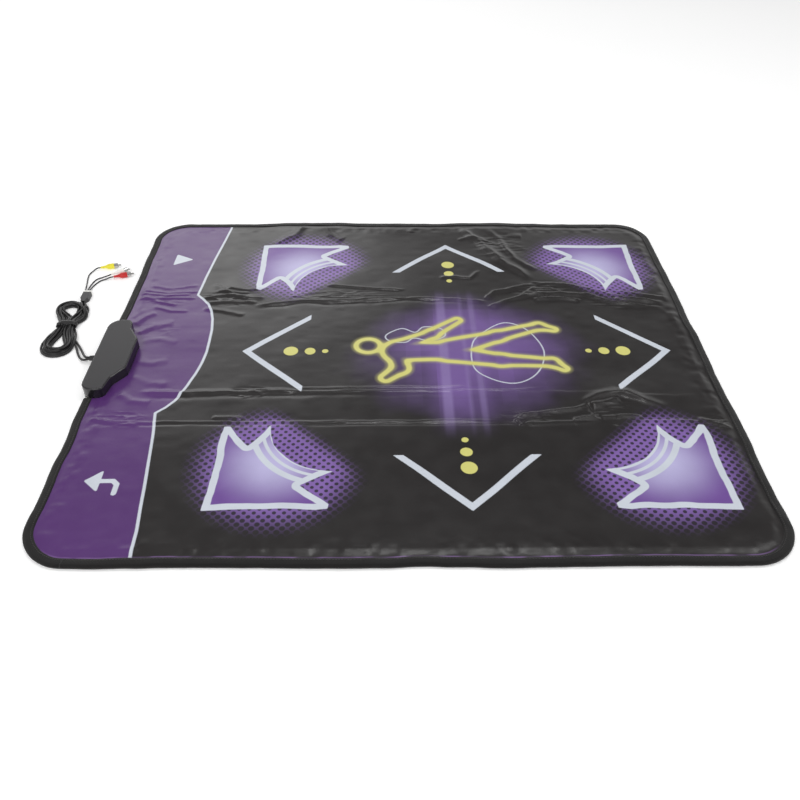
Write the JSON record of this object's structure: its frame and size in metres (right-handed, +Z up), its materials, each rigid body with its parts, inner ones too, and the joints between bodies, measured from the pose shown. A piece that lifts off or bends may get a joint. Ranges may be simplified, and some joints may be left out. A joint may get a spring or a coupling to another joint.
{
  "type": "dance rhythm machine",
  "caption": "Soft folding dance mat with press-sensitive step zones, a control box on its left edge and a tied audio and video cord with phono plugs.",
  "frame": {"origin": "middle of the mat's underside, on the floor", "axes": "+X to the right and away from the control box, +Y towards the far long edge, +Z up"},
  "size_m": [1.0403, 0.83, 0.022],
  "materials": {
    "printed_vinyl": "printed soft vinyl, satin: black field, violet band and glow, white and yellow outlines",
    "backing_cloth": "dark non-slip cloth with raised dots",
    "film": "clear film with printed silver and carbon tracks",
    "foam": "soft open foam sheet",
    "binding_tape": "ribbed woven tape, folded and sewn",
    "box_plastic": "dark grey moulded plastic, fine spark texture",
    "black_plastic": "black moulded plastic",
    "battery_case": "plain printed cell jacket",
    "steel": "nickel plated",
    "circuit_board": "green solder mask",
    "white_plastic": "white moulded plastic",
    "yellow_plastic": "yellow moulded plastic",
    "red_plastic": "red moulded plastic",
    "cord_rubber": "black soft vinyl jacket, satin",
    "splitter_rubber": "dark grey moulded vinyl"
  },
  "bodies": {
    "middle_panel": {"backing_middle": "backing_cloth", "contact_film_middle": "film", "foam_spacer_middle": "foam", "top_cover_middle": "printed_vinyl", "edge_binding_right": "binding_tape", "edge_binding_left_near": "binding_tape", "edge_binding_left_far": "binding_tape", "box_upper_shell": "box_plastic", "box_lower_shell": "black_plastic", "shell_screw_1": "steel", "shell_screw_2": "steel", "shell_screw_3": "steel", "shell_screw_4": "steel", "battery_1": "battery_case", "battery_2": "battery_case", "battery_3": "battery_case", "battery_spring_contact": "steel", "battery_flat_contact": "steel", "main_board": "circuit_board", "membrane_connector": "white_plastic", "ribbon_tail": "film", "power_switch_body": "black_plastic", "cord_gland": "cord_rubber", "video_cord": "cord_rubber", "audio_cord": "cord_rubber", "cord_hank": "cord_rubber", "cord_tie": "black_plastic", "lead_splitter": "splitter_rubber", "lead_yellow": "cord_rubber", "lead_white": "cord_rubber", "lead_red": "cord_rubber", "plug_grip_yellow": "yellow_plastic", "plug_grip_white": "white_plastic", "plug_grip_red": "red_plastic", "plug_contacts_yellow": "steel", "plug_contacts_white": "steel", "plug_contacts_red": "steel"},
    "near_panel": {"backing_near": "backing_cloth", "contact_film_near": "film", "foam_spacer_near": "foam", "top_cover_near": "printed_vinyl", "edge_binding_near": "binding_tape"},
    "far_panel": {"backing_far": "backing_cloth", "contact_film_far": "film", "foam_spacer_far": "foam", "top_cover_far": "printed_vinyl", "edge_binding_far": "binding_tape"},
    "battery_door": {"battery_door": "black_plastic", "battery_door_screw": "steel"},
    "power_switch": {"power_switch_knob": "black_plastic"},
    "step_zone_near_left": {"step_zone_near_left": "printed_vinyl"},
    "step_zone_near_centre": {"step_zone_near_centre": "printed_vinyl"},
    "step_zone_near_right": {"step_zone_near_right": "printed_vinyl"},
    "step_zone_middle_left": {"step_zone_middle_left": "printed_vinyl"},
    "step_zone_middle_right": {"step_zone_middle_right": "printed_vinyl"},
    "step_zone_far_left": {"step_zone_far_left": "printed_vinyl"},
    "step_zone_far_centre": {"step_zone_far_centre": "printed_vinyl"},
    "step_zone_far_right": {"step_zone_far_right": "printed_vinyl"},
    "start_zone": {"start_zone": "printed_vinyl"},
    "back_zone": {"back_zone": "printed_vinyl"}
  },
  "joints": [
    {"name": "near_fold", "type": "hinge", "parent": "middle_panel", "child": "near_panel", "pos_m": [0, -0.175, 0.006], "axis": [-1, 0, 0], "range_deg": [0, 160]},
    {"name": "far_fold", "type": "hinge", "parent": "middle_panel", "child": "far_panel", "pos_m": [0, 0.139, 0], "axis": [-1, 0, 0], "range_deg": [0, 175]},
    {"name": "battery_door_tip", "type": "hinge", "parent": "middle_panel", "child": "battery_door", "pos_m": [-0.451, 0.05715, 0], "axis": [-1, 0, 0], "range_deg": [-70, 0]},
    {"name": "power_switch_slide", "type": "slide", "parent": "middle_panel", "child": "power_switch", "axis": [0, 1, 0], "range_m": [0, 0.002]},
    {"name": "step_zone_near_left_press", "type": "slide", "parent": "near_panel", "child": "step_zone_near_left", "axis": [0, 0, -1], "range_m": [0, 0.002], "stiffness_N_per_m": 4000},
    {"name": "step_zone_near_centre_press", "type": "slide", "parent": "near_panel", "child": "step_zone_near_centre", "axis": [0, 0, -1], "range_m": [0, 0.002], "stiffness_N_per_m": 4000},
    {"name": "step_zone_near_right_press", "type": "slide", "parent": "near_panel", "child": "step_zone_near_right", "axis": [0, 0, -1], "range_m": [0, 0.002], "stiffness_N_per_m": 4000},
    {"name": "step_zone_middle_left_press", "type": "slide", "parent": "middle_panel", "child": "step_zone_middle_left", "axis": [0, 0, -1], "range_m": [0, 0.002], "stiffness_N_per_m": 4000},
    {"name": "step_zone_middle_right_press", "type": "slide", "parent": "middle_panel", "child": "step_zone_middle_right", "axis": [0, 0, -1], "range_m": [0, 0.002], "stiffness_N_per_m": 4000},
    {"name": "step_zone_far_left_press", "type": "slide", "parent": "far_panel", "child": "step_zone_far_left", "axis": [0, 0, -1], "range_m": [0, 0.002], "stiffness_N_per_m": 4000},
    {"name": "step_zone_far_centre_press", "type": "slide", "parent": "far_panel", "child": "step_zone_far_centre", "axis": [0, 0, -1], "range_m": [0, 0.002], "stiffness_N_per_m": 4000},
    {"name": "step_zone_far_right_press", "type": "slide", "parent": "far_panel", "child": "step_zone_far_right", "axis": [0, 0, -1], "range_m": [0, 0.002], "stiffness_N_per_m": 4000},
    {"name": "start_zone_press", "type": "slide", "parent": "far_panel", "child": "start_zone", "axis": [0, 0, -1], "range_m": [0, 0.002], "stiffness_N_per_m": 4000},
    {"name": "back_zone_press", "type": "slide", "parent": "near_panel", "child": "back_zone", "axis": [0, 0, -1], "range_m": [0, 0.002], "stiffness_N_per_m": 4000}
  ]
}
